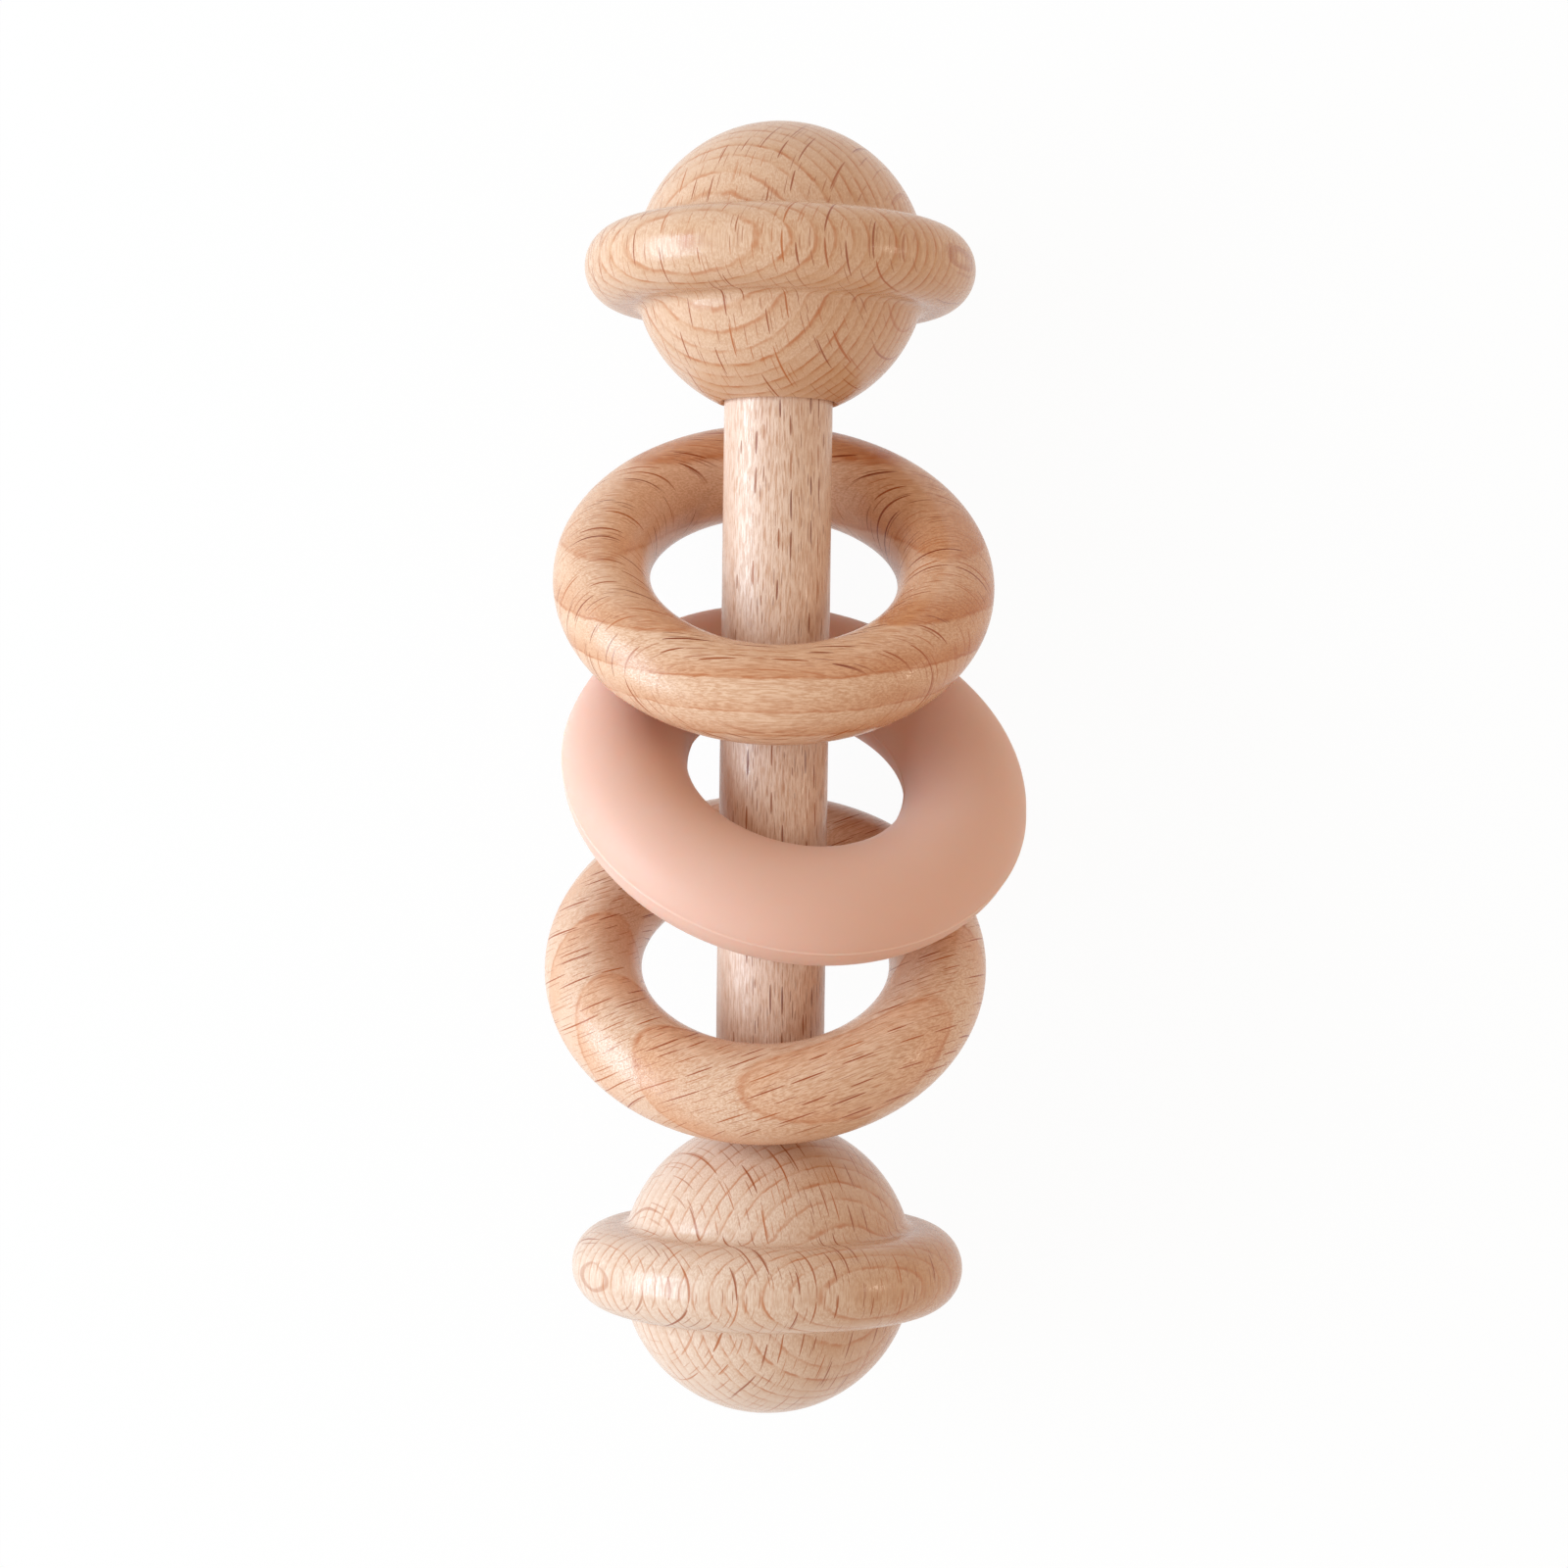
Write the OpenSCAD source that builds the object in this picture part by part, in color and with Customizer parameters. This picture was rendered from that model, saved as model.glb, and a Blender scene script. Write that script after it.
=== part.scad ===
// Ring rattle, lying on a table: a dowel with a turned knob on each end and three loose rings on it.
// The dowel runs along Y, the table is the plane z = 0, and each ring stands on the table and leans
// over the dowel, which it touches with its highest point.

/* [Dowel] */
// Diameter of the dowel
dowel_d = 10; // [8:0.5:13]
// How far the dowel runs into a knob, counted from the middle plane of the knob's rim
dowel_past_rim = 4; // [1:0.5:8]
// Chamfer on each end of the dowel
dowel_chamfer = 0.6; // [0.2:0.1:1.5]
// Gap round the dowel that the glue fills in a knob's bore
glue_gap = 0.1; // [0.05:0.05:0.3]

/* [Knobs] */
// Diameter of a knob's ball
ball_d = 27; // [23:0.5:32]
// Outer diameter of the rim round the ball
rim_d = 36; // [31:0.5:44]
// Thickness of the rim, along the dowel
rim_thick = 7.5; // [5:0.1:10]
// Fillet where the rim meets the ball
rim_fillet = 1; // [0.3:0.1:2]
// Lead-in chamfer at the mouth of a knob's bore
bore_lead = 0.4; // [0.2:0.1:1]

/* [Wooden rings] */
// Outer diameter of a wooden ring
wood_ring_d = 41; // [37:0.5:52]
// Thickness of a wooden ring's round section
wood_thick = 9; // [7:0.1:11]

/* [Silicone ring] */
// Outer diameter of the silicone ring
soft_ring_d = 43.5; // [39:0.5:54]
// Width of its oval section, from the bore to the outer edge
soft_wide = 11.5; // [9.5:0.1:13]
// Thickness of its oval section, along the ring's own axis
soft_thick = 9.5; // [7.5:0.1:10.5]
// How much smaller the radius of its inner and outer edges is than half its thickness
soft_edge_crown = 0.6; // [0.3:0.1:1.5]

/* [Rings at rest] */
// Gap between a leaning ring and the top of the dowel
lean_gap = 0.2; // [0.1:0.05:0.5]
// Travel of the lower ring along the dowel, down to the lower knob
lower_travel = 1.6; // [0.5:0.1:20]
// Room that is left at least between the lower ring and the silicone ring
lower_room = 0.3; // [0.1:0.1:20]
// Room that is left at least between the silicone ring and the upper ring
upper_room = 0.4; // [0.1:0.1:20]
// Travel of the upper ring along the dowel, up to the upper knob
upper_travel = 5.4; // [0.5:0.1:30]
// Turn of the lower ring about the vertical, as seen from above
lower_yaw = 1; // [-20:0.1:20]
// Turn of the silicone ring about the vertical, as seen from above
soft_yaw = -12.6; // [-20:0.1:20]
// Turn of the upper ring about the vertical, as seen from above
upper_yaw = -2; // [-20:0.1:20]
// Sideways place of the lower ring's highest point, from the dowel's axis
lower_side = -0.35; // [-1:0.05:1]
// Sideways place of the silicone ring's highest point, from the dowel's axis
soft_side = -0.35; // [-1:0.05:1]
// Sideways place of the upper ring's highest point, from the dowel's axis
upper_side = -0.6; // [-1:0.05:1]

/* [Hidden] */
$fn = 96;

knob_wood = [0.88, 0.72, 0.57];
ring_wood = [0.80, 0.60, 0.42];
blush_silicone = [0.88, 0.68, 0.59];

// The rims stand on the table, so their radius is the height of the dowel's axis
axis_z = rim_d / 2;
dowel_r = dowel_d / 2;
ball_r = ball_d / 2;
bore_r = dowel_r + glue_gap;
rim_half = rim_thick / 2;
rim_mid_r = rim_d / 2 - rim_half;
mouth_z = sqrt(ball_r * ball_r - bore_r * bore_r);

// The fillet's circle touches the ball and the flank of the rim, or its round edge on a low rim
fillet_ball_r = ball_r + rim_fillet;
fillet_half = rim_half + rim_fillet;
flank_x = sqrt(fillet_ball_r * fillet_ball_r - fillet_half * fillet_half);
low_rim_x = (flank_x * flank_x + rim_mid_r * rim_mid_r) / (2 * rim_mid_r);
fillet_x = flank_x <= rim_mid_r ? flank_x : low_rim_x;
fillet_y = sqrt(fillet_ball_r * fillet_ball_r - fillet_x * fillet_x);
fillet_foot_x = min(flank_x, rim_mid_r);

// The oval has four arcs that meet smoothly at seam_x: two edges and two crowned sides
wood_half = wood_thick / 2;
wood_mid_r = wood_ring_d / 2 - wood_half;
soft_half = soft_thick / 2;
soft_mid_r = (soft_ring_d - soft_wide) / 2;
edge_r = soft_half - soft_edge_crown;
edge_x = soft_wide / 2 - edge_r;
crown_r = (edge_x * edge_x + soft_half * soft_half - edge_r * edge_r) / (2 * soft_edge_crown);
crown_drop = crown_r - soft_half;
seam_x = edge_x * crown_r / (crown_r - edge_r);

// A ring's middle circle spans this height from its lowest to its highest point
lean_span = axis_z + dowel_r + lean_gap;

// Tilt of a leaning ring from upright, for the radius of its middle circle
function tilt(mid_r) = acos(min(1, lean_span / (2 * mid_r)));

// How far the oval reaches from its middle towards the table at a tilt
function soft_reach(lean) =
    lean < atan2(crown_drop, edge_x)
        ? edge_x * cos(lean) + edge_r
        : crown_r - crown_drop * sin(lean);

// Middle of a ring that leans on the dowel, with its place along the dowel at 0
function ring_middle(mid_r, reach, side, yaw) = [
    side - mid_r * sin(tilt(mid_r)) * sin(yaw),
    0,
    lean_span + reach - mid_r * cos(tilt(mid_r))
];

// A point tilted about X and then turned about Z
function tilted(p, lean) = [p.x, p.y * cos(lean) - p.z * sin(lean), p.y * sin(lean) + p.z * cos(lean)];
function turned(p, yaw) = [p.x * cos(yaw) - p.y * sin(yaw), p.x * sin(yaw) + p.y * cos(yaw), p.z];

// Points on the middle circle of a ring at rest
function middle_circle(mid_r, middle, yaw) = [
    for (a = [0:4:356])
        middle + turned(tilted(mid_r * [sin(a), 0, cos(a)], tilt(mid_r)), yaw)
];

// Least distance of two middle circles, the second one moved along the dowel
function apart(first, second, move) =
    min([for (p = first, q = second) norm(q + [0, move, 0] - p)]);

// Place of the second ring along the dowel at which the two circles keep the distance, found by halving
function pitch(first, second, distance, way, near, far, halvings = 14) =
    let (mid = (near + far) / 2)
    halvings == 0
        ? far
        : apart(first, second, way * mid) > distance
            ? pitch(first, second, distance, way, near, mid, halvings - 1)
            : pitch(first, second, distance, way, mid, far, halvings - 1);

lower_middle = ring_middle(wood_mid_r, wood_half, lower_side, lower_yaw);
soft_middle = ring_middle(soft_mid_r, soft_reach(tilt(soft_mid_r)), soft_side, soft_yaw);
upper_middle = ring_middle(wood_mid_r, wood_half, upper_side, upper_yaw);
lower_circle = middle_circle(wood_mid_r, lower_middle, lower_yaw);
soft_circle = middle_circle(soft_mid_r, soft_middle, soft_yaw);
upper_circle = middle_circle(wood_mid_r, upper_middle, upper_yaw);

// Steps along the dowel from ring to ring
rings_near = (wood_thick + soft_thick) / 2;
rings_far = wood_ring_d + soft_ring_d;
rings_touch = (wood_thick + soft_wide) / 2;
lower_pitch = pitch(soft_circle, lower_circle, rings_touch + lower_room, -1, rings_near, rings_far);
upper_pitch = pitch(soft_circle, upper_circle, rings_touch + upper_room, 1, rings_near, rings_far);

// Distance along the dowel from a rim's middle plane to a wooden ring that touches the knob there
function knob_reach(rise) =
    max(sqrt(max(0, pow(ball_r + wood_half, 2) - rise * rise)), rim_half + wood_half);
wood_lean_y = wood_mid_r * sin(tilt(wood_mid_r));
lower_stop = knob_reach(dowel_r + lean_gap + wood_half) + wood_lean_y;
upper_stop = knob_reach(axis_z - wood_half) + wood_lean_y;

// The rings and their free travel set the distance between the two rims
rim_spacing = lower_stop + lower_travel + lower_pitch + upper_pitch + upper_travel + upper_stop;
dowel_length = rim_spacing + 2 * dowel_past_rim;
lower_y = lower_stop + lower_travel - rim_spacing / 2;
soft_y = lower_y + lower_pitch;
upper_y = soft_y + upper_pitch;

// Turned knob with a blind bore, its rim's middle plane at z = 0 and its free end towards +Z:
// a ball and a disc with a half-round edge, joined by a collar that the fillet's circles hollow out
module knob() {
    color(knob_wood)
        difference() {
            union() {
                sphere(ball_r);
                rotate_extrude() {
                    translate([0, -rim_half])
                        square([rim_mid_r, rim_thick]);
                    translate([rim_mid_r, 0])
                        circle(rim_half);
                }
                rotate_extrude()
                    polygon([[0, 0], [fillet_x, fillet_y], [fillet_foot_x, 0], [fillet_x, -fillet_y]]);
            }
            for (side = [-1, 1])
                rotate_extrude()
                    translate([fillet_x, side * fillet_y])
                        circle(rim_fillet);
            translate([0, 0, -ball_r])
                cylinder(h = ball_r + dowel_past_rim, r = bore_r);
            translate([0, 0, -mouth_z - bore_lead])
                cylinder(h = 2 * bore_lead, r1 = bore_r + 2 * bore_lead, r2 = bore_r);
        }
}

// Oval section of the silicone ring
module oval() {
    for (side = [-1, 1])
        translate([side * edge_x, 0])
            circle(edge_r);
    intersection() {
        translate([0, crown_drop])
            circle(crown_r);
        translate([0, -crown_drop])
            circle(crown_r);
        translate([-seam_x, -soft_half])
            square([2 * seam_x, soft_thick]);
    }
}

// A ring of the given section at rest, with its own axis along Y before it leans
module leaning_ring(mid_r, middle, along, yaw) {
    translate(middle + [0, along, 0])
        rotate([tilt(mid_r), 0, yaw])
            rotate([90, 0, 0])
                rotate_extrude()
                    translate([mid_r, 0])
                        children();
}

module dowel() {
    half = dowel_length / 2;
    end_r = dowel_r - dowel_chamfer;
    shoulder = half - dowel_chamfer;
    color(knob_wood)
        translate([0, 0, axis_z])
            rotate([90, 0, 0])
                rotate_extrude()
                    polygon([
                        [0, -half], [end_r, -half], [dowel_r, -shoulder],
                        [dowel_r, shoulder], [end_r, half], [0, half]
                    ]);
}

module upper_knob() {
    translate([0, rim_spacing / 2, axis_z])
        rotate([-90, 0, 0])
            knob();
}

module lower_knob() {
    translate([0, -rim_spacing / 2, axis_z])
        rotate([90, 0, 0])
            knob();
}

module upper_ring() {
    color(ring_wood)
        leaning_ring(wood_mid_r, upper_middle, upper_y, upper_yaw)
            circle(wood_half);
}

module silicone_ring() {
    color(blush_silicone)
        leaning_ring(soft_mid_r, soft_middle, soft_y, soft_yaw)
            oval();
}

module lower_ring() {
    color(ring_wood)
        leaning_ring(wood_mid_r, lower_middle, lower_y, lower_yaw)
            circle(wood_half);
}

dowel();
upper_knob();
lower_knob();
upper_ring();
silicone_ring();
lower_ring();
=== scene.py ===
"""Ring rattle on a white table, seen from straight above: a beech dowel with a turned knob glued on each
end, and two beech rings and a silicone ring that lean loosely over it."""

import math

import bpy
from mathutils import Matrix, Vector


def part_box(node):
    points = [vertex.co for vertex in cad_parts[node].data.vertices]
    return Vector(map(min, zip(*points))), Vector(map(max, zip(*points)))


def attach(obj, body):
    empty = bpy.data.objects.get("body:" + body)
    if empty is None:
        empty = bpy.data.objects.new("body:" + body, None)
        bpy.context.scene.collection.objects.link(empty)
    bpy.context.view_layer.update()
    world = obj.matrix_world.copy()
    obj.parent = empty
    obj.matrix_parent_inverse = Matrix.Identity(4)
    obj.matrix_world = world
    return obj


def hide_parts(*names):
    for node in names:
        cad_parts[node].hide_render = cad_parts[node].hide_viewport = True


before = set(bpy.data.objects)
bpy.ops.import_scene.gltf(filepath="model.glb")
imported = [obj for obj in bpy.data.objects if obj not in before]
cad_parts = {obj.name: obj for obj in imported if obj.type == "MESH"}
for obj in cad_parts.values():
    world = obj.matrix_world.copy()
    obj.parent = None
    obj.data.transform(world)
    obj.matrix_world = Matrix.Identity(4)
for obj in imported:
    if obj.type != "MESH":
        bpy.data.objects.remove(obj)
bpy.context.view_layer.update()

# Sizes in millimetres
MM = 0.001
BALL_R = 13.5
RIM_HALF = 3.75
RIM_FILLET = 1.0
DOWEL_PAST_RIM = 4.0
DOWEL_CHAMFER = 0.6
GLUE_GAP = 0.1
BORE_LEAD = 0.4
EDGE_ROUND = 0.15
WOOD_RING_R = 20.5
WOOD_HALF = 4.5
SOFT_RING_R = 21.75
SOFT_HALF_WIDTH = 5.75
SOFT_HALF_THICK = 4.75
MOULD_LINE_HEIGHT = 0.1
MOULD_LINE_WIDTH = 0.1
LEAN_GAP = 0.2
HAND_SANDING = 0.02

# Turn of each loose ring about the vertical, in degrees
RING_YAW = {"upper_ring": -2.0, "silicone_ring": -12.6, "lower_ring": 1.0}


def linear(red, green, blue):
    """A colour given as on a screen, 0 to 255, in linear light."""
    shares = [value / 255 for value in (red, green, blue)]
    return (*[s / 12.92 if s <= 0.04045 else ((s + 0.055) / 1.055) ** 2.4 for s in shares], 1.0)


def box_mm(node):
    low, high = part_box(node)
    return low / MM, high / MM


def middle_mm(node):
    low, high = box_mm(node)
    return (low + high) / 2


dowel_low, dowel_high = box_mm("dowel")
axis_z = (dowel_low.z + dowel_high.z) / 2
dowel_r = (dowel_high.x - dowel_low.x) / 2
dowel_half = (dowel_high.y - dowel_low.y) / 2
bore_r = dowel_r + GLUE_GAP
rim_y = dowel_half - DOWEL_PAST_RIM
rim_middle_r = axis_z - RIM_HALF


# Node trees

class Plan:
    """A node tree being drawn up: each call adds a node and sets or joins its inputs."""

    def __init__(self, tree):
        self.tree = tree

    def node(self, kind, inputs=None, **settings):
        made = self.tree.nodes.new(kind)
        for name, value in settings.items():
            setattr(made, name, value)
        for key, value in (inputs or {}).items():
            if isinstance(value, bpy.types.NodeSocket):
                self.tree.links.new(value, made.inputs[key])
            else:
                made.inputs[key].default_value = value
        return made

    def join(self, output, socket):
        self.tree.links.new(output, socket)

    def math(self, operation, *values):
        return self.node("ShaderNodeMath", dict(enumerate(values)), operation=operation).outputs[0]

    def times(self, *values):
        product = values[0]
        for value in values[1:]:
            product = self.math("MULTIPLY", product, value)
        return product

    def fall(self, distance, width):
        """A bell that is 1 at distance 0 and falls off over the width."""
        share = self.math("DIVIDE", distance, width)
        return self.math("EXPONENT", self.times(share, share, -1.0))

    def ramp(self, value, low, high, start=0.0, end=1.0):
        """Runs smoothly from start at low to end at high."""
        inputs = {0: value, 1: low, 2: high, 3: start, 4: end}
        return self.node("ShaderNodeMapRange", inputs, interpolation_type="SMOOTHSTEP").outputs[0]

    def mix(self, share, first, second, blend="MIX"):
        inputs = {0: share, 6: first, 7: second}
        return self.node("ShaderNodeMix", inputs, data_type="RGBA", blend_type=blend).outputs[2]

    def vector(self, x, y, z):
        return self.node("ShaderNodeCombineXYZ", {0: x, 1: y, 2: z}).outputs[0]

    def parts(self, vector):
        return self.node("ShaderNodeSeparateXYZ", {0: vector}).outputs

    def vectors(self, operation, *values):
        return self.node("ShaderNodeVectorMath", dict(enumerate(values)), operation=operation).outputs[0]

    def measure(self, operation, *values):
        """A single number from vectors, such as a length or a dot product."""
        made = self.node("ShaderNodeVectorMath", dict(enumerate(values)), operation=operation)
        return made.outputs["Value"]

    def noise(self, vector, waves, detail=2.0, roughness=0.5):
        inputs = {"Vector": vector, "Scale": waves, "Detail": detail, "Roughness": roughness}
        return self.node("ShaderNodeTexNoise", inputs).outputs[0]

    def cell(self, value):
        """The number of the cell that a value falls in, and how far it is from the cell's middle."""
        return self.math("FLOOR", value), self.math("SUBTRACT", self.math("FRACT", value), 0.5)

    def luck(self, *cell):
        """Three chance shares that belong to a numbered cell."""
        inputs = {"Vector": self.vector(*cell)}
        return self.parts(self.node("ShaderNodeTexWhiteNoise", inputs).outputs["Color"])

    def swing(self, share, reach):
        """A share from 0 to 1 as a swing of plus or minus reach."""
        return self.times(self.math("MULTIPLY_ADD", share, 2.0, -1.0), reach)


def new_group(name, kind, inputs, outputs):
    """An empty node group with named sockets: the tree, its plan, what is given and what is made."""
    tree = bpy.data.node_groups.new(name, kind)
    for way, sockets in (("INPUT", inputs), ("OUTPUT", outputs)):
        for label, socket_type in sockets.items():
            tree.interface.new_socket(label, in_out=way, socket_type="NodeSocket" + socket_type)
    plan = Plan(tree)
    return tree, plan, plan.node("NodeGroupInput").outputs, plan.node("NodeGroupOutput").inputs


# Growth layers of beech: lengths in millimetres, waves of noise per millimetre, and shares
GRAIN_STRETCH = (1.0, 1.0, 0.3)
WANDER_WAVES = 0.15
RAGGED_WAVES = 1.3
RAGGED_SHARE = 0.4
BUNCH_WAVES = 0.7
FAINTEST_LAYER = 0.5
LATE_WOOD_START = 0.15
LINE_HALF = 0.12
LINE_BREAK_WAVES = 0.6
LINE_BREAK = (0.36, 0.6)
LINE_LEAST = 0.15

# Ray plates: sway and edge in millimetres, the rest as shares, and fine plates as shares of broad ones
RAY_SWAY_WAVES = 0.17
RAY_SWAY = 0.5
RAY_DEPTH = 8.0
RAY_STAGGER = 40.0
COLUMN_JITTER = 0.28
PLATE_JITTER = 0.05
PLATE_LEAST_HEIGHT = 0.28
PLATE_HEIGHT_SPREAD = 0.22
PLATE_EDGE = (-0.02, 0.03)
PLATE_TIP = 0.25
PLATE_PRESENT = (0.12, 0.3)
PLATE_DARK = (0.2, 0.85)
RAY_FLAT_CUT = (0.7, 0.95)
RAY_SUNK = 0.2
FINE_RAY_SEED = 100.0
FINE_RAY_SPACING = 0.4
FINE_RAY_HEIGHT = 1.5
FINE_RAY_THICKNESS = 0.6
FINE_RAY_STRENGTH = 0.7

# Fibres per millimetre, and tone as shares
FIBRES_ACROSS = 8.0
FIBRES_ALONG = 0.7
FIBRE_EDGE = (0.39, 0.63)
FIBRE_TINT = linear(208, 172, 140)
FIBRE_ROUGHNESS = 0.16
FIBRE_SUNK = 0.7
CLOUD_WAVES = 0.3
CLOUD_DEPTH = 0.25
TONE_RANGE = (-0.15, 1.0)


def ray_plates(plan, around, radius, along, seed, spacing, height, filled, half_thick):
    """Thin plates of ray cells, upright on the growth layers and stacked along the grain in columns:
    where they are, and how dark each one is."""
    column, aside = plan.cell(plan.math("DIVIDE", around, spacing))
    column = plan.math("ADD", column, seed)
    stagger = plan.luck(column, 0.5, 0.5)
    along = plan.math("DIVIDE", along, plan.times(spacing, height))
    radius = plan.math("DIVIDE", radius, plan.times(spacing, RAY_DEPTH))
    row, up = plan.cell(plan.math("MULTIPLY_ADD", stagger[0], RAY_STAGGER, along))
    ply, deep = plan.cell(plan.math("MULTIPLY_ADD", stagger[1], RAY_STAGGER, radius))
    luck = plan.luck(column, row, ply)
    aside = plan.math("SUBTRACT", aside, plan.swing(stagger[2], COLUMN_JITTER))
    aside = plan.math("SUBTRACT", aside, plan.swing(luck[2], PLATE_JITTER))
    half_height = plan.math("MULTIPLY_ADD", luck[0], PLATE_HEIGHT_SPREAD, PLATE_LEAST_HEIGHT)
    half_height = plan.times(half_height, filled)
    room = plan.math("SUBTRACT", 0.5, half_height)
    up = plan.math("DIVIDE", plan.math("SUBTRACT", up, plan.swing(luck[2], room)), half_height)
    deep = plan.times(deep, 2.0)
    inside = plan.math("SUBTRACT", 1.0, plan.math("ADD", plan.times(up, up), plan.times(deep, deep)))
    taper = plan.math("SQRT", plan.math("MAXIMUM", inside, 0.0))
    gap = plan.times(plan.math("ABSOLUTE", aside), spacing)
    plate = plan.ramp(plan.math("SUBTRACT", plan.times(taper, half_thick), gap), *PLATE_EDGE)
    present = plan.ramp(luck[1], *PLATE_PRESENT)
    plate = plan.times(plate, present, plan.ramp(taper, 0.0, PLATE_TIP))
    return plate, plan.ramp(luck[1], *PLATE_DARK)


def beech_group():
    """Solid beech: growth layers round a pith, ray plates across them and fine fibres along the grain.
    The wood's own axes, in millimetres: X out from the pith, Y along the layers, Z along the grain."""
    inputs = {
        "Wood": "Vector", "Seed": "Float", "Pith distance": "Float", "Layer width": "Float",
        "Layer thinning": "Float", "Layer shift": "Float", "Unevenness": "Float", "Wander": "Float",
        "Layer contrast": "Float", "Edge softness": "Float", "Line strength": "Float",
        "Ray spacing": "Float", "Ray height": "Float", "Ray fill": "Float", "Ray thickness": "Float",
        "Ray strength": "Float", "Ray shift": "Float", "Flat ray share": "Float",
        "Fibre strength": "Float", "Smoothest": "Float", "Painted shade": "Vector", "Pale wood": "Color",
        "Deep wood": "Color", "Line colour": "Color", "Ray colour": "Color", "Outwards": "Vector",
    }
    outputs = {"Colour": "Color", "Roughness": "Float", "Height": "Float"}
    tree, plan, given, made = new_group("Beech", "ShaderNodeTree", inputs, outputs)
    across, sideways, along = plan.parts(given["Wood"])
    place = plan.vectors("ADD", given["Wood"], plan.vector(given["Seed"], given["Seed"], 0.0))
    stretched = plan.vectors("MULTIPLY", place, GRAIN_STRETCH)

    # Place in the trunk: out from the pith and round it
    from_pith = plan.math("ADD", across, given["Pith distance"])
    square = plan.math("ADD", plan.times(from_pith, from_pith), plan.times(sideways, sideways))
    radius = plan.math("SUBTRACT", plan.math("SQRT", square), given["Pith distance"])
    radius = plan.math("ADD", radius, plan.swing(plan.noise(stretched, WANDER_WAVES), given["Wander"]))
    ragged = plan.noise(stretched, RAGGED_WAVES, detail=3.0, roughness=0.6)
    ragged = plan.swing(ragged, plan.times(given["Wander"], RAGGED_SHARE))
    ragged = plan.math("ADD", radius, ragged)
    around = plan.times(plan.math("ARCTAN2", sideways, from_pith), given["Pith distance"])
    sway = plan.noise(stretched, RAY_SWAY_WAVES, detail=0.0)
    around = plan.math("ADD", around, plan.swing(sway, RAY_SWAY))
    around = plan.math("ADD", around, given["Ray shift"])

    # Growth layers: pale wood that deepens up to a line
    thinned = plan.math("MULTIPLY_ADD", ragged, given["Layer thinning"], 1.0)
    even = plan.times(plan.math("DIVIDE", ragged, given["Layer width"]), thinned)
    even = plan.math("ADD", even, given["Layer shift"])
    bunched = plan.vector(plan.math("ADD", even, given["Seed"]), 0.0, 0.0)
    bunched = plan.noise(bunched, BUNCH_WAVES, detail=0.0)
    layer = plan.math("ADD", even, plan.swing(bunched, given["Unevenness"]))
    part = plan.math("FRACT", layer)
    number = plan.math("ADD", plan.math("FLOOR", layer), given["Seed"])
    luck = plan.node("ShaderNodeTexWhiteNoise", {"W": number}, noise_dimensions="1D").outputs["Value"]
    bold = plan.math("MULTIPLY_ADD", luck, 1.0 - FAINTEST_LAYER, FAINTEST_LAYER)
    edge = plan.math("DIVIDE", given["Edge softness"], given["Layer width"])
    ripe = plan.math("SUBTRACT", 1.0, edge)
    ending = plan.ramp(part, ripe, 1.0, 1.0, 0.0)
    late = plan.times(plan.ramp(part, LATE_WOOD_START, ripe), ending, bold)
    thin = plan.math("DIVIDE", 1.0, plan.times(thinned, thinned))
    late = plan.times(late, plan.math("MINIMUM", thin, 1.0))
    past_ripe = plan.times(plan.math("SUBTRACT", part, ripe), given["Layer width"])
    broken = plan.ramp(plan.noise(place, LINE_BREAK_WAVES), *LINE_BREAK, LINE_LEAST, 1.0)
    line = plan.times(plan.fall(past_ripe, LINE_HALF), broken, bold)

    # Broad and fine rays, fainter where the surface cuts them flat
    thick = given["Ray thickness"]
    height = given["Ray height"]
    filled = given["Ray fill"]
    seed = given["Seed"]
    spacing = given["Ray spacing"]
    broad, dark = ray_plates(plan, around, radius, along, seed, spacing, height, filled, thick)
    seed = plan.math("ADD", seed, FINE_RAY_SEED)
    spacing = plan.times(spacing, FINE_RAY_SPACING)
    height = plan.times(height, FINE_RAY_HEIGHT)
    thick = plan.times(thick, FINE_RAY_THICKNESS)
    fine, _ = ray_plates(plan, around, radius, along, seed, spacing, height, filled, thick)
    rays = plan.math("MAXIMUM", broad, plan.times(fine, FINE_RAY_STRENGTH))
    square_to_ray = plan.vectors("NORMALIZE", plan.vector(plan.times(sideways, -1.0), from_pith, 0.0))
    flat_cut = plan.math("ABSOLUTE", plan.measure("DOT_PRODUCT", square_to_ray, given["Outwards"]))
    steep = plan.ramp(flat_cut, *RAY_FLAT_CUT, 1.0, given["Flat ray share"])
    rays = plan.times(rays, steep)
    dark = plan.times(dark, steep)

    # Fibres along the grain, and tone
    threads = [plan.times(value, FIBRES_ACROSS) for value in (around, radius)]
    threads = plan.vector(*threads, plan.times(along, FIBRES_ALONG))
    fibre = plan.ramp(plan.noise(threads, 1.0, detail=3.0, roughness=0.65), *FIBRE_EDGE)
    cloud = plan.swing(plan.noise(stretched, CLOUD_WAVES, detail=3.0), CLOUD_DEPTH)
    # Painted shade: the tone deepens towards the piece's right, the side away from the window
    painted_shade = plan.math("MAXIMUM", plan.measure("DOT_PRODUCT", given["Wood"], given["Painted shade"]), 0.0)
    tone = plan.math("ADD", plan.times(late, given["Layer contrast"]), plan.math("ADD", cloud, painted_shade))

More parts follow.
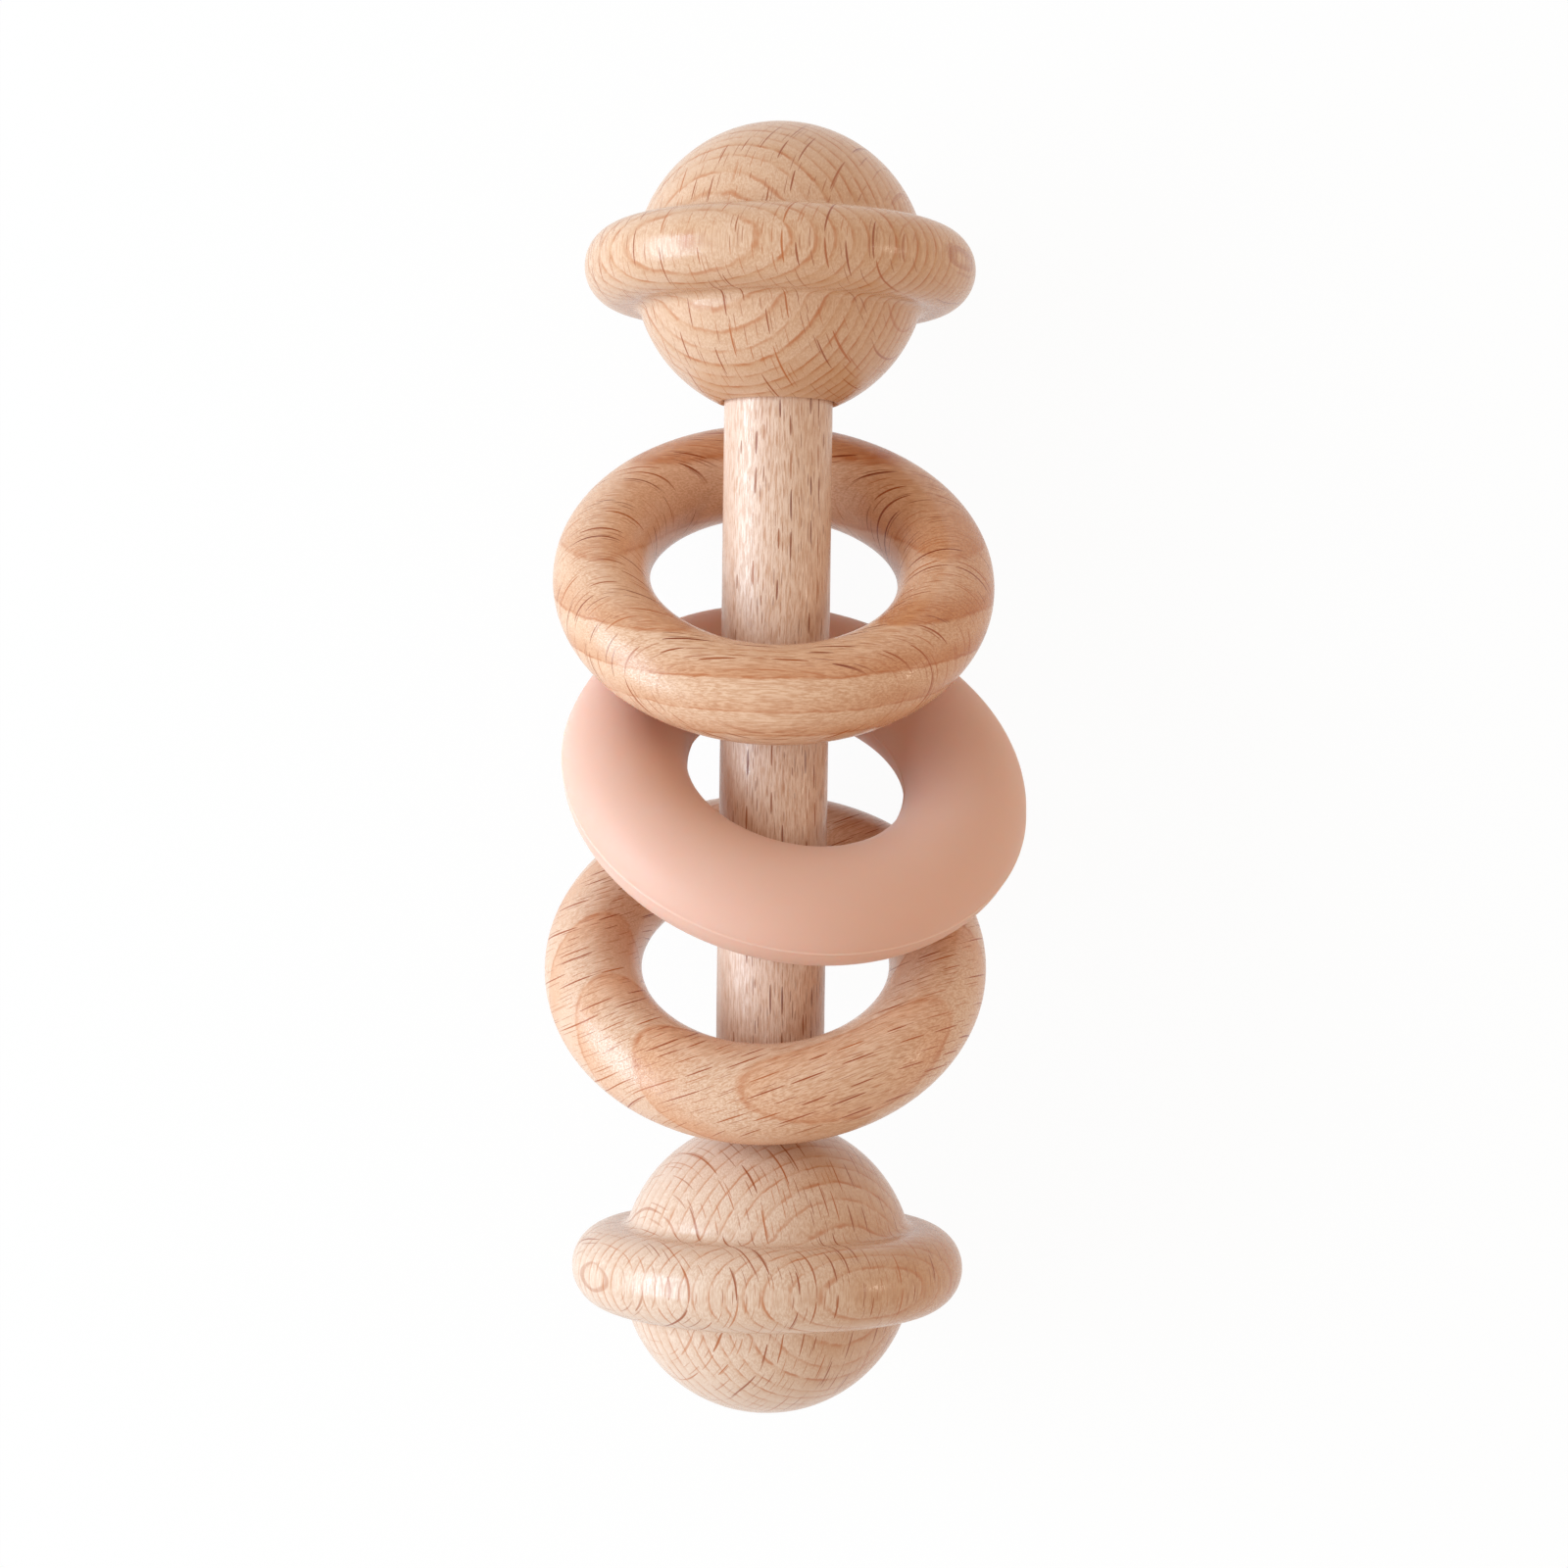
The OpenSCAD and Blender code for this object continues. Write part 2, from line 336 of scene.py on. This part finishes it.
    colour = plan.mix(plan.ramp(tone, *TONE_RANGE), given["Pale wood"], given["Deep wood"])
    colour = plan.mix(plan.times(fibre, given["Fibre strength"]), colour, FIBRE_TINT, "MULTIPLY")
    colour = plan.mix(plan.times(line, given["Line strength"]), colour, given["Line colour"])
    ray_colour = plan.mix(dark, given["Line colour"], given["Ray colour"])
    colour = plan.mix(plan.times(rays, given["Ray strength"]), colour, ray_colour)
    plan.join(colour, made["Colour"])
    roughness = plan.math("MULTIPLY_ADD", fibre, FIBRE_ROUGHNESS, given["Smoothest"])
    plan.join(roughness, made["Roughness"])
    sunk = plan.math("ADD", plan.times(rays, RAY_SUNK), plan.times(fibre, FIBRE_SUNK))
    plan.join(plan.math("SUBTRACT", 1.0, sunk), made["Height"])
    return tree


BEECH = beech_group()

# Usual values of the beech, which each piece changes to those of its own wood
BEECH_USUAL = {
    "Pith distance": 40.0, "Layer thinning": 0.0, "Layer shift": 0.0, "Unevenness": 0.25, "Wander": 0.3,
    "Layer contrast": 0.3, "Edge softness": 0.1, "Line strength": 0.85, "Ray fill": 0.95,
    "Ray thickness": 0.08, "Ray strength": 0.9, "Ray shift": 0.0, "Flat ray share": 0.12,
    "Fibre strength": 0.5, "Smoothest": 0.17,
    "Line colour": linear(184, 104, 52), "Ray colour": linear(152, 74, 32),
}
WOOD_BUMP = 0.6
WOOD_GLOSS = 0.45


def new_material(name):
    material = bpy.data.materials.new(name)
    material.use_nodes = True
    material.node_tree.nodes.clear()
    return material, Plan(material.node_tree)


def millimetres_from(plan, centre, turn):
    """Object coordinates in millimetres from a point, in turned axes."""
    place = plan.node("ShaderNodeTexCoord").outputs["Object"]
    inputs = {"Vector": place, "Location": Vector(centre) * MM, "Rotation": turn, "Scale": (MM, MM, MM)}
    return plan.node("ShaderNodeMapping", inputs, vector_type="TEXTURE").outputs[0]


def beech(name, centre, outwards, grain, relief, painted_shade, values):
    """Beech for one piece, from the direction out from the pith, the direction of the grain, how deep the
    sanding left the fibres standing and how much painted shade deepens the tone for each millimetre to the
    right, the side away from the window."""
    along = Vector(grain).normalized()
    across = Vector(outwards)
    across = (across - across.dot(along) * along).normalized()
    axes = Matrix((across, along.cross(across), along))
    turn = axes.transposed().to_euler()
    material, plan = new_material(name)
    grown = plan.node("ShaderNodeGroup", node_tree=BEECH)
    plan.join(millimetres_from(plan, centre, turn), grown.inputs["Wood"])
    normal = plan.node("ShaderNodeTexCoord").outputs["Normal"]
    facing = plan.node("ShaderNodeMapping", {"Vector": normal, "Rotation": turn}, vector_type="TEXTURE")
    plan.join(facing.outputs[0], grown.inputs["Outwards"])
    for label, value in {**BEECH_USUAL, **values}.items():
        grown.inputs[label].default_value = value
    # Painted shade along the piece's +X, the side away from the window
    grown.inputs["Painted shade"].default_value = axes @ Vector((painted_shade, 0.0, 0.0))
    height = grown.outputs["Height"]
    bump = plan.node("ShaderNodeBump", {"Strength": WOOD_BUMP, "Distance": relief * MM, "Height": height})
    surface = plan.node("ShaderNodeBsdfPrincipled", {
        "Base Color": grown.outputs["Colour"], "Roughness": grown.outputs["Roughness"],
        "Normal": bump.outputs[0], "Specular IOR Level": WOOD_GLOSS,
    })
    plan.node("ShaderNodeOutputMaterial", {"Surface": surface.outputs[0]})
    return material


# Silicone: relief and depth of the glow in millimetres, waves of noise per millimetre
SILICONE_PALE = linear(226, 183, 166)
SILICONE_DEEP = linear(222, 176, 158)
SILICONE_MOULD_LINE = linear(229, 188, 172)
SILICONE_TONE_WAVES = 0.06
SILICONE_GRAIN_WAVES = 7.0
SILICONE_GRAIN_RANGE = (0.3, 0.7)
SILICONE_ROUGHNESS = (0.5, 0.6)
SILICONE_RELIEF = 0.01
SILICONE_BUMP = 0.15
SILICONE_IOR = 1.41
SILICONE_GLOW = 0.7
SILICONE_GLOW_DEPTH = 4.0
SILICONE_GLOW_COLOURS = (1.0, 0.5, 0.35)


def blush_silicone(centre, turn):
    """Matte moulded silicone: an even colour, a soft glow under the skin and a very fine moulded grain.
    The mould line, in the ring's middle plane, is paler."""
    material, plan = new_material("blush_silicone")
    place = millimetres_from(plan, centre, turn)
    grain = plan.noise(place, SILICONE_GRAIN_WAVES)
    off_middle = plan.parts(place)[2]
    colour = plan.mix(plan.noise(place, SILICONE_TONE_WAVES), SILICONE_PALE, SILICONE_DEEP)
    colour = plan.mix(plan.fall(off_middle, MOULD_LINE_WIDTH), colour, SILICONE_MOULD_LINE)
    relief = {"Strength": SILICONE_BUMP, "Distance": SILICONE_RELIEF * MM, "Height": grain}
    surface = plan.node("ShaderNodeBsdfPrincipled", {
        "Base Color": colour, "IOR": SILICONE_IOR,
        "Roughness": plan.ramp(grain, *SILICONE_GRAIN_RANGE, *SILICONE_ROUGHNESS),
        "Normal": plan.node("ShaderNodeBump", relief).outputs[0],
        "Subsurface Weight": SILICONE_GLOW, "Subsurface Radius": SILICONE_GLOW_COLOURS,
        "Subsurface Scale": SILICONE_GLOW_DEPTH * MM,
    })
    plan.node("ShaderNodeOutputMaterial", {"Surface": surface.outputs[0]})
    return material


# Turned and swept shapes: steps of the surfaces, lengths in millimetres, waves of noise per millimetre
STEPS_ROUND = 288
STEPS_OVER = 96
LATHE_RADIUS = 10.0
MERGE_REACH = 0.002
SANDING_WAVES = 0.16
FINISH_INPUTS = {"Sanding": "Float", "Place": "Vector", "Turn": "Vector", "Finish": "Material"}
SHAPE_OUTPUT = {"Geometry": "Geometry"}


def lay_finish(plan, given, made, shape):
    """The end of both trees: hand sanding, smooth shading, the piece's place and its finish."""
    merged = plan.node("GeometryNodeMergeByDistance", {"Geometry": shape, "Distance": MERGE_REACH * MM})
    place = plan.node("GeometryNodeInputPosition").outputs[0]
    waves = plan.noise(place, SANDING_WAVES / MM, detail=1.0)
    outwards = plan.node("GeometryNodeInputNormal").outputs[0]
    wear = plan.vectors("MULTIPLY", outwards, plan.swing(waves, given["Sanding"]))
    worn = plan.node("GeometryNodeSetPosition", {"Geometry": merged.outputs[0], "Offset": wear})
    smooth = plan.node("GeometryNodeSetShadeSmooth", {"Geometry": worn.outputs[0]})
    turn = plan.node("FunctionNodeEulerToRotation", {0: given["Turn"]})
    placed = plan.node("GeometryNodeTransform", {
        "Geometry": smooth.outputs[0], "Translation": given["Place"], "Rotation": turn.outputs[0],
    })
    whole = plan.node("GeometryNodeRealizeInstances", {"Geometry": placed.outputs[0]})
    coat = {"Geometry": whole.outputs[0], "Material": given["Finish"]}
    plan.join(plan.node("GeometryNodeSetMaterial", coat).outputs[0], made["Geometry"])


def circle_path(plan, radius, steps):
    """A circle round Z whose normals point straight out, so that a section on it stays upright."""
    circle = plan.node("GeometryNodeCurvePrimitiveCircle", {"Resolution": steps, "Radius": radius})
    return plan.node("GeometryNodeSetCurveNormal", {"Curve": circle.outputs[0]}, mode="Z_UP").outputs[0]


def turned_tree():
    """Turns an outline round Z, as on a lathe: in the outline X is the radius and Y runs down the axis."""
    inputs = {"Outline": "Geometry", "Lathe radius": "Float", "Steps round": "Int", **FINISH_INPUTS}
    tree, plan, given, made = new_group("Turned piece", "GeometryNodeTree", inputs, SHAPE_OUTPUT)
    path = circle_path(plan, given["Lathe radius"], given["Steps round"])
    inwards = plan.vector(plan.times(given["Lathe radius"], -1.0), 0.0, 0.0)
    outline = plan.node("GeometryNodeMeshToCurve", {"Mesh": given["Outline"]})
    section = plan.node("GeometryNodeTransform", {"Geometry": outline.outputs[0], "Translation": inwards})
    body = plan.node("GeometryNodeCurveToMesh", {"Curve": path, "Profile Curve": section.outputs[0]})
    lay_finish(plan, given, made, body.outputs[0])
    return tree


def ring_tree():
    """Sweeps an oval section round a ring, with a mould line along its outer and its inner edge.
    The edge crowding draws the section's points together there."""
    inputs = {
        "Start": "Geometry", "Middle radius": "Float", "Half width": "Float", "Half thickness": "Float",
        "Mould line height": "Float", "Mould line width": "Float", "Edge crowding": "Float",
        "Steps round": "Int", "Steps over": "Int", **FINISH_INPUTS,
    }
    tree, plan, given, made = new_group("Swept ring", "GeometryNodeTree", inputs, SHAPE_OUTPUT)
    unit = plan.node("GeometryNodeCurvePrimitiveCircle", {"Resolution": given["Steps over"], "Radius": 1.0})
    x, y, _ = plan.parts(plan.node("GeometryNodeInputPosition").outputs[0])
    even = plan.math("ARCTAN2", y, x)
    drawn = plan.times(plan.math("SINE", plan.times(even, 2.0)), given["Edge crowding"])
    angle = plan.math("SUBTRACT", even, drawn)
    wide = plan.times(plan.math("COSINE", angle), given["Half width"])
    thick = plan.times(plan.math("SINE", angle), given["Half thickness"])
    bead = plan.times(plan.fall(thick, given["Mould line width"]), given["Mould line height"])
    edge = plan.math("ADD", wide, plan.times(bead, plan.math("SIGN", wide)))
    outline = plan.vector(edge, thick, 0.0)
    section = plan.node("GeometryNodeSetPosition", {"Geometry": unit.outputs[0], "Position": outline})
    path = circle_path(plan, given["Middle radius"], given["Steps round"])
    body = plan.node("GeometryNodeCurveToMesh", {"Curve": path, "Profile Curve": section.outputs[0]})
    lay_finish(plan, given, made, body.outputs[0])
    return tree


TURNED = turned_tree()
SWEPT = ring_tree()


def made_piece(name, tree, values, outline=()):
    """A plain mesh object from a tree and its inputs, with its place in its mesh."""
    mesh = bpy.data.meshes.new(name + "_outline")
    points = [(radius * MM, -height * MM, 0.0) for radius, height in outline]
    mesh.from_pydata(points, [(i, i + 1) for i in range(len(points) - 1)], [])
    piece = bpy.data.objects.new(name, mesh)
    bpy.context.scene.collection.objects.link(piece)
    modifier = piece.modifiers.new("Shape", "NODES")
    modifier.node_group = tree
    sockets = {item.name: item.identifier for item in tree.interface.items_tree if item.in_out == "INPUT"}
    for label, value in values.items():
        modifier[sockets[label]] = value
    shape = bpy.data.meshes.new_from_object(piece.evaluated_get(bpy.context.evaluated_depsgraph_get()))
    shape.name = name
    piece.modifiers.clear()
    piece.data = shape
    return piece


def seat(piece, body, node):
    """Lets the piece ride on its body, in place of the frame's node, which it hides."""
    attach(piece, body)
    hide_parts(node)


def turned_piece(name, node, outline, y, turn, finish):
    values = {
        "Lathe radius": LATHE_RADIUS * MM, "Steps round": STEPS_ROUND, "Sanding": HAND_SANDING * MM,
        "Place": Vector((0, y, axis_z)) * MM, "Turn": (turn, 0.0, 0.0), "Finish": finish,
    }
    seat(made_piece(name, TURNED, values, outline), "handle", node)


def ring_turn(node, middle_r):
    """Turn of a ring at rest: it stands on the table and its highest point leans on the dowel."""
    tilt = math.acos((axis_z + dowel_r + LEAN_GAP) / (2 * middle_r))
    return (tilt + math.pi / 2, 0.0, math.radians(RING_YAW[node]))


def leaning_ring(name, node, outer_r, half_width, half_thick, mould_line, crowding, sanding, finish):
    middle_r = outer_r - half_width
    values = {
        "Middle radius": middle_r * MM, "Half width": half_width * MM, "Half thickness": half_thick * MM,
        "Mould line height": mould_line * MM, "Mould line width": MOULD_LINE_WIDTH * MM,
        "Edge crowding": crowding, "Steps round": STEPS_ROUND, "Steps over": STEPS_OVER,
        "Sanding": sanding * MM, "Place": middle_mm(node) * MM, "Turn": ring_turn(node, middle_r),
        "Finish": finish,
    }
    seat(made_piece(name, SWEPT, values), node, node)


# Outlines of the turned pieces, as points of radius and height in millimetres
BALL_END_STEPS = 56
BALL_MOUTH_STEPS = 36
FILLET_STEPS = 10
RIM_STEPS = 30
CORNER_STEPS = 5
DOWEL_STEPS = 24
DOWEL_END_ZONE = 2.0
MOUTH_ZONE_DEGREES = 1.5


def arc(middle, radius, start, end, steps):
    """Points on an arc between two angles in degrees."""
    angles = [math.radians(start + (end - start) * k / steps) for k in range(steps + 1)]
    return [(middle[0] + radius * math.cos(a), middle[1] + radius * math.sin(a)) for a in angles]


def rounded(corners, reach):
    """A line through the corners, with each inner corner rounded over the reach on both sides."""
    shares = [k / CORNER_STEPS for k in range(CORNER_STEPS + 1)]
    points = [corners[0]]
    for before, corner, after in zip(corners, corners[1:], corners[2:]):
        back = (Vector(before) - Vector(corner)).normalized() * reach
        on = (Vector(after) - Vector(corner)).normalized() * reach
        points += [tuple(Vector(corner) + back * (1 - t) ** 2 + on * t ** 2) for t in shares]
    return points + [corners[-1]]


def mirrored(points):
    return [(radius, -height) for radius, height in reversed(points)]


def knob_outline():
    """Half outline of a knob: from its free end over the rim to the mouth, and up the blind bore."""
    fillet_h = RIM_HALF + RIM_FILLET
    fillet_r = math.sqrt((BALL_R + RIM_FILLET) ** 2 - fillet_h ** 2)
    foot = math.degrees(math.atan2(fillet_h, fillet_r))
    rim = arc((fillet_r, fillet_h), RIM_FILLET, foot + 180, 270, FILLET_STEPS)
    rim += arc((rim_middle_r, 0), RIM_HALF, 90, 0, RIM_STEPS)
    lead_r = bore_r + BORE_LEAD
    mouth = math.degrees(math.acos(lead_r / BALL_R))
    mouth_h = BALL_R * math.sin(math.radians(mouth))
    ball_end = arc((0, 0), BALL_R, 90, foot, BALL_END_STEPS)[:-1]
    ball_mouth = arc((0, 0), BALL_R, -foot, -mouth + MOUTH_ZONE_DEGREES, BALL_MOUTH_STEPS)[1:]
    lead = [
        ball_mouth.pop(), (lead_r, -mouth_h), (bore_r, BORE_LEAD - mouth_h),
        (bore_r, DOWEL_PAST_RIM), (0, DOWEL_PAST_RIM),
    ]
    return ball_end + rim + mirrored(rim)[1:] + ball_mouth + rounded(lead, EDGE_ROUND)


def dowel_outline():
    """Half outline of the dowel, from the middle of one chamfered end to the middle of the other."""
    shoulder = dowel_half - DOWEL_CHAMFER
    side_start = shoulder - DOWEL_END_ZONE
    end = [
        (0, dowel_half), (dowel_r - DOWEL_CHAMFER, dowel_half),
        (dowel_r, shoulder), (dowel_r, side_start),
    ]
    side = [(dowel_r, side_start * (1 - k / DOWEL_STEPS)) for k in range(1, DOWEL_STEPS + 1)]
    upper = rounded(end, EDGE_ROUND) + side
    return upper + mirrored(upper)[1:]


# Pieces and their wood: relief in millimetres, painted shade that deepens the tone per millimetre towards
# the right, directions out from the pith
ALONG_DOWEL = (0.0, 1.0, 0.0)
TOWARDS_UPPER = -math.pi / 2
TOWARDS_LOWER = math.pi / 2
DOWEL_RELIEF = 0.03
KNOB_RELIEF = 0.008
RING_RELIEF = 0.015
DOWEL_OUTWARDS = 15
UPPER_KNOB_OUTWARDS = -27
LOWER_KNOB_OUTWARDS = 33
UPPER_RING_OUTWARDS = (-0.04, -0.95, -0.32)
LOWER_RING_OUTWARDS = (-0.25, -0.24, -0.94)
UPPER_RING_GRAIN = (1.0, 0.0, 0.0)
LOWER_RING_GRAIN = (0.9, 0.29, -0.32)
# Painted shade: how much the tone deepens for each millimetre towards the right, the side away from the
# window
UPPER_KNOB_PAINTED_SHADE = 0.024
LOWER_KNOB_PAINTED_SHADE = 0.045
UPPER_RING_PAINTED_SHADE = 0.018
NO_PAINTED_SHADE = 0.0
MOULD_LINE_CROWDING = 0.44

DOWEL_WOOD = {
    "Layer width": 2.4, "Seed": 3.0, "Line strength": 0.15,
    "Ray spacing": 0.9, "Ray height": 4.6, "Ray fill": 0.75, "Fibre strength": 0.62, "Smoothest": 0.22,
    "Pale wood": linear(237, 206, 187), "Deep wood": linear(218, 175, 148),
    "Line colour": linear(176, 106, 64), "Ray colour": linear(124, 54, 28),
}
KNOB_WOOD = {"Pith distance": 200.0, "Flat ray share": 0.55}
UPPER_KNOB_WOOD = {
    **KNOB_WOOD, "Layer width": 1.1, "Layer shift": 0.52, "Seed": 11.0, "Layer contrast": 0.36,
    "Ray spacing": 1.65, "Ray height": 2.25, "Ray shift": 26.3,
    "Pale wood": linear(226, 188, 160), "Deep wood": linear(204, 150, 101),
}
LOWER_KNOB_WOOD = {
    **KNOB_WOOD, "Layer width": 1.35, "Layer thinning": 0.012, "Layer shift": 0.525, "Seed": 24.0,
    "Ray spacing": 1.35, "Ray height": 2.8, "Ray shift": 0.85,
    "Pale wood": linear(231, 203, 184), "Deep wood": linear(203, 149, 104),
}
RING_WOOD = {
    "Pith distance": 800.0, "Unevenness": 0.0, "Wander": 0.55, "Edge softness": 0.35,
    "Ray spacing": 1.05, "Ray fill": 0.85, "Ray strength": 1.0, "Fibre strength": 0.62,
    "Line colour": linear(180, 98, 46),
}
UPPER_RING_WOOD = {
    **RING_WOOD, "Layer width": 3.82, "Layer thinning": 0.031, "Layer shift": 0.64, "Seed": 5.0,
    "Layer contrast": 0.65, "Line strength": 0.7,
    "Ray height": 5.8, "Ray shift": 13.0, "Ray thickness": 0.085, "Ray colour": linear(136, 60, 24),
    "Pale wood": linear(234, 194, 165), "Deep wood": linear(206, 138, 90),
}
LOWER_RING_WOOD = {
    **RING_WOOD, "Layer width": 4.5, "Layer shift": 0.555, "Seed": 8.0,
    "Layer contrast": 0.42, "Line strength": 0.6,
    "Ray height": 4.4, "Ray thickness": 0.07, "Ray colour": linear(156, 72, 30),
    "Pale wood": linear(233, 197, 172), "Deep wood": linear(222, 149, 96),
}


def round_dowel(degrees):
    """A direction square to the dowel, turned to the right from straight up."""
    return (math.sin(math.radians(degrees)), 0.0, math.cos(math.radians(degrees)))


def handle_beech(node, y, outwards, relief, painted_shade, values):
    """Beech for a piece of the handle, with its grain along the dowel."""
    centre = (0, y, axis_z)
    return beech(node + "_beech", centre, round_dowel(outwards), ALONG_DOWEL, relief, painted_shade, values)


def build_handle():
    wood = handle_beech("dowel", 0.0, DOWEL_OUTWARDS, DOWEL_RELIEF, NO_PAINTED_SHADE, DOWEL_WOOD)
    turned_piece("beech_dowel", "dowel", dowel_outline(), 0.0, TOWARDS_UPPER, wood)
    wood = handle_beech(
        "upper_knob", rim_y, UPPER_KNOB_OUTWARDS, KNOB_RELIEF, UPPER_KNOB_PAINTED_SHADE, UPPER_KNOB_WOOD,
    )
    turned_piece(
        "upper_beech_knob", "upper_knob", knob_outline(), rim_y, TOWARDS_UPPER, wood,
    )
    wood = handle_beech(
        "lower_knob", -rim_y, LOWER_KNOB_OUTWARDS, KNOB_RELIEF, LOWER_KNOB_PAINTED_SHADE, LOWER_KNOB_WOOD,
    )
    turned_piece(
        "lower_beech_knob", "lower_knob", knob_outline(), -rim_y, TOWARDS_LOWER, wood,
    )


def wooden_ring(name, node, outwards, grain, painted_shade, values):
    wood = beech(node + "_beech", middle_mm(node), outwards, grain, RING_RELIEF, painted_shade, values)
    leaning_ring(name, node, WOOD_RING_R, WOOD_HALF, WOOD_HALF, 0.0, 0.0, HAND_SANDING, wood)


def build_rings():
    wooden_ring(
        "upper_beech_ring", "upper_ring", UPPER_RING_OUTWARDS, UPPER_RING_GRAIN, UPPER_RING_PAINTED_SHADE,
        UPPER_RING_WOOD,
    )
    wooden_ring(
        "lower_beech_ring", "lower_ring", LOWER_RING_OUTWARDS, LOWER_RING_GRAIN, NO_PAINTED_SHADE,
        LOWER_RING_WOOD,
    )
    turn = ring_turn("silicone_ring", SOFT_RING_R - SOFT_HALF_WIDTH)
    silicone = blush_silicone(middle_mm("silicone_ring"), turn)
    leaning_ring(
        "blush_silicone_ring", "silicone_ring", SOFT_RING_R, SOFT_HALF_WIDTH, SOFT_HALF_THICK,
        MOULD_LINE_HEIGHT, MOULD_LINE_CROWDING, 0.0, silicone,
    )


# Table, room and lamps, in metres and watts
WHITE = (1.0, 1.0, 1.0, 1.0)
TABLE_SIZE = 6.0
TABLE_COLOUR = (0.9, 0.9, 0.9, 1.0)
TABLE_GLOW = 0.95
TABLE_GLOW_NEAR = 0.2
TABLE_GLOW_FAR = 0.6
ROOM_LIGHT = (0.67, 0.59, 0.475, 1.0)
WINDOW_PLACE = (-0.8, 0.0, 0.38)
WINDOW_SIZE = (0.8, 0.5)
WINDOW_POWER = 10.6
WINDOW_COLOUR = (0.62, 0.83, 1.0)
REFLECTOR_PLACE = (0.78, 0.0, 0.36)
REFLECTOR_SIZE = (0.17, 0.06)
REFLECTOR_POWER = 0.6
REFLECTOR_COLOUR = (1.0, 0.84, 0.68)


def seen_share(plan):
    """1 for what the camera sees, straight or in a reflection, and 0 for the light on the object."""
    rays = plan.node("ShaderNodeLightPath").outputs
    direct = plan.math("MAXIMUM", rays["Is Camera Ray"], rays["Is Glossy Ray"])
    return plan.math("MAXIMUM", direct, rays["Is Transmission Ray"])


def white_table():
    """A white table, a hair under the rattle, that keeps a faint shadow of it."""
    half = TABLE_SIZE / 2
    top = -HAND_SANDING * MM
    corners = [(-half, -half, top), (half, -half, top), (half, half, top), (-half, half, top)]
    mesh = bpy.data.meshes.new("table")
    mesh.from_pydata(corners, [], [(0, 1, 2, 3)])
    table = bpy.data.objects.new("table", mesh)
    bpy.context.scene.collection.objects.link(table)
    material, plan = new_material("white_table")
    matte = plan.node("ShaderNodeBsdfDiffuse", {"Color": TABLE_COLOUR})
    glow = plan.node("ShaderNodeEmission", {"Color": WHITE, "Strength": 1.0})
    away = plan.measure("LENGTH", plan.node("ShaderNodeTexCoord").outputs["Object"])
    share = plan.ramp(away, TABLE_GLOW_NEAR, TABLE_GLOW_FAR, TABLE_GLOW, 1.0)
    share = plan.times(seen_share(plan), share)
    both = plan.node("ShaderNodeMixShader", {0: share, 1: matte.outputs[0], 2: glow.outputs[0]})
    plan.node("ShaderNodeOutputMaterial", {"Surface": both.outputs[0]})
    mesh.materials.append(material)


def white_room():
    """Soft warm light from all round, and white where the room itself is seen."""
    world = bpy.data.worlds.new("white_room")
    bpy.context.scene.world = world
    world.use_nodes = True
    world.node_tree.nodes.clear()
    plan = Plan(world.node_tree)
    colour = plan.mix(seen_share(plan), ROOM_LIGHT, WHITE)
    room = plan.node("ShaderNodeBackground", {"Color": colour, "Strength": 1.0})
    plan.node("ShaderNodeOutputWorld", {"Surface": room.outputs[0]})


def soft_light(name, place, size, power, colour):
    """A soft panel that faces the rattle."""
    lamp = bpy.data.lights.new(name, "AREA")
    lamp.shape = "RECTANGLE"
    lamp.size, lamp.size_y = size
    lamp.energy = power
    lamp.color = colour
    panel = bpy.data.objects.new(name, lamp)
    bpy.context.scene.collection.objects.link(panel)
    panel.location = place
    aim = Vector((0, 0, axis_z * MM)) - Vector(place)
    panel.rotation_euler = aim.to_track_quat("-Z", "Y").to_euler()


# The camera stands over the dowel's middle, a little turned: in millimetres and degrees
CAMERA_OVER_AXIS = 281.14
CAMERA_X = 0.97
CAMERA_Y = 0.83
CAMERA_PITCH = 0.47
CAMERA_ROLL = 0.755
PICTURE_AT_AXIS = 144.8
SENSOR = 36.0
NEAREST_SEEN = 10.0


def camera_above():
    lens = bpy.data.cameras.new("camera")
    lens.sensor_width = SENSOR
    lens.lens = SENSOR * CAMERA_OVER_AXIS / PICTURE_AT_AXIS
    lens.clip_start = NEAREST_SEEN * MM
    camera = bpy.data.objects.new("camera", lens)
    bpy.context.scene.collection.objects.link(camera)
    place = Matrix.Translation(Vector((CAMERA_X, CAMERA_Y, axis_z + CAMERA_OVER_AXIS)) * MM)
    pitch = Matrix.Rotation(math.radians(-CAMERA_PITCH), 4, "X")
    camera.matrix_world = place @ pitch @ Matrix.Rotation(math.radians(CAMERA_ROLL), 4, "Z")
    bpy.context.scene.camera = camera


build_handle()
build_rings()
white_table()
white_room()
soft_light("window", WINDOW_PLACE, WINDOW_SIZE, WINDOW_POWER, WINDOW_COLOUR)
soft_light("reflector", REFLECTOR_PLACE, REFLECTOR_SIZE, REFLECTOR_POWER, REFLECTOR_COLOUR)
camera_above()
bpy.context.scene.view_settings.view_transform = "Standard"
